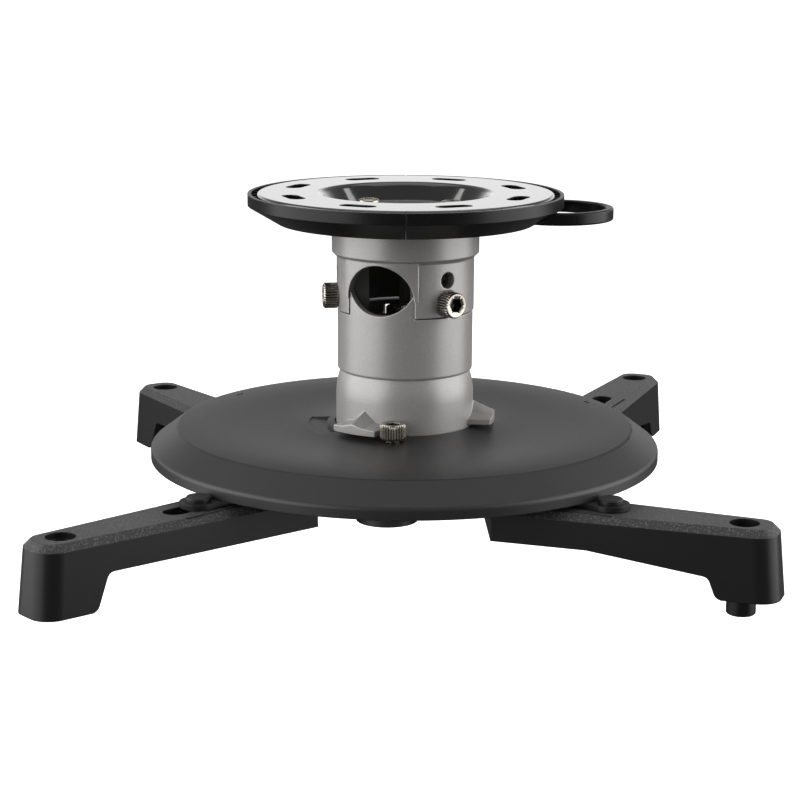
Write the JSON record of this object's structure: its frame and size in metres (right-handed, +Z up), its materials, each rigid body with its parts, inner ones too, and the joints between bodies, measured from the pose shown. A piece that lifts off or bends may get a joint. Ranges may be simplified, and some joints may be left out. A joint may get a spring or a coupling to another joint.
{
  "type": "projector ceiling mount",
  "caption": "Short ceiling mount for a projector: a slotted plate, a pan and tilt column, and a round cover with sliding, swinging arms that end in feet.",
  "frame": {"origin": "centre of the plate's face that meets the ceiling", "axes": "+Z up along the column, into the ceiling; -Y towards the viewer of the picture; +X towards the cable loop"},
  "size_m": [0.269, 0.2952, 0.139],
  "materials": {
    "gloss_black_steel": "gloss black lacquer",
    "black_steel": "satin black powder coat",
    "trim_plastic": "satin",
    "cover_plastic": "satin",
    "arm_plastic": "grained top, smooth sides",
    "post_plastic": "satin",
    "silver_casting": "satin silver lacquer on cast metal",
    "plated_steel": "bright nickel plate"
  },
  "bodies": {
    "ceiling": {"ceiling_plate": "gloss_black_steel", "trim_half_left": "trim_plastic", "trim_half_right": "trim_plastic", "plate_screws": "plated_steel", "yoke": "silver_casting", "neck": "silver_casting", "neck_screws": "plated_steel"},
    "swivel": {"swivel_bolt": "plated_steel", "swivel_nut": "plated_steel", "friction_washer": "plated_steel", "saddle_washer": "plated_steel"},
    "head": {"ball_hub": "silver_casting", "lock_screw": "plated_steel", "spider_plate": "black_steel", "dome_cover": "cover_plastic", "cover_screws": "plated_steel", "pivot_screws": "black_steel"},
    "carrier_fl": {"guide_nut_fl": "plated_steel"},
    "arm_body_fl": {"arm_fl": "arm_plastic"},
    "post_body_fl": {"foot_post_fl": "post_plastic"},
    "carrier_fr": {"guide_nut_fr": "plated_steel"},
    "arm_body_fr": {"arm_fr": "arm_plastic"},
    "post_body_fr": {"foot_post_fr": "post_plastic"},
    "carrier_bl": {"guide_nut_bl": "plated_steel"},
    "arm_body_bl": {"arm_bl": "arm_plastic"},
    "post_body_bl": {"foot_post_bl": "post_plastic"},
    "carrier_br": {"guide_nut_br": "plated_steel"},
    "arm_body_br": {"arm_br": "arm_plastic"},
    "post_body_br": {"foot_post_br": "post_plastic"}
  },
  "joints": [
    {"name": "pan", "type": "hinge", "parent": "ceiling", "child": "swivel", "pos_m": [0, 0, 0], "axis": [0, 0, 1], "continuous": true},
    {"name": "tilt", "type": "hinge", "parent": "swivel", "child": "head", "pos_m": [0, 0, -0.0788], "axis": [1, 0, 0], "range_deg": [-15, 15]},
    {"name": "arm_swing_fl", "type": "hinge", "parent": "head", "child": "carrier_fl", "pos_m": [-0.0746, -0.0746, -0.1055], "axis": [0, 0, 1], "range_deg": [-21.7, 28.3]},
    {"name": "arm_slide_fl", "type": "slide", "parent": "carrier_fl", "child": "arm_body_fl", "axis": [-0.7466, -0.6652, 0], "range_m": [-0.0102, 0.0272]},
    {"name": "post_slide_fl", "type": "slide", "parent": "arm_body_fl", "child": "post_body_fl", "axis": [0, 0, -1], "range_m": [0, 0.015]},
    {"name": "arm_swing_fr", "type": "hinge", "parent": "head", "child": "carrier_fr", "pos_m": [0.0746, -0.0746, -0.1055], "axis": [0, 0, 1], "range_deg": [-49, 1]},
    {"name": "arm_slide_fr", "type": "slide", "parent": "carrier_fr", "child": "arm_body_fr", "axis": [0.9336, -0.3584, 0], "range_m": [-0.0007, 0.0367]},
    {"name": "post_slide_fr", "type": "slide", "parent": "arm_body_fr", "child": "post_body_fr", "axis": [0, 0, -1], "range_m": [-0.0075, 0.0075]},
    {"name": "arm_swing_bl", "type": "hinge", "parent": "head", "child": "carrier_bl", "pos_m": [-0.0746, 0.0746, -0.1055], "axis": [0, 0, 1], "range_deg": [-14, 36]},
    {"name": "arm_slide_bl", "type": "slide", "parent": "carrier_bl", "child": "arm_body_bl", "axis": [-0.5592, 0.829, 0], "range_m": [-0.0137, 0.0237]},
    {"name": "post_slide_bl", "type": "slide", "parent": "arm_body_bl", "child": "post_body_bl", "axis": [0, 0, -1], "range_m": [0, 0.015]},
    {"name": "arm_swing_br", "type": "hinge", "parent": "head", "child": "carrier_br", "pos_m": [0.0746, 0.0746, -0.1055], "axis": [0, 0, 1], "range_deg": [-46.5, 3.5]},
    {"name": "arm_slide_br", "type": "slide", "parent": "carrier_br", "child": "arm_body_br", "axis": [0.3987, 0.9171, 0], "range_m": [-0.0357, 0.0017]},
    {"name": "post_slide_br", "type": "slide", "parent": "arm_body_br", "child": "post_body_br", "axis": [0, 0, -1], "range_m": [0, 0.015]}
  ]
}
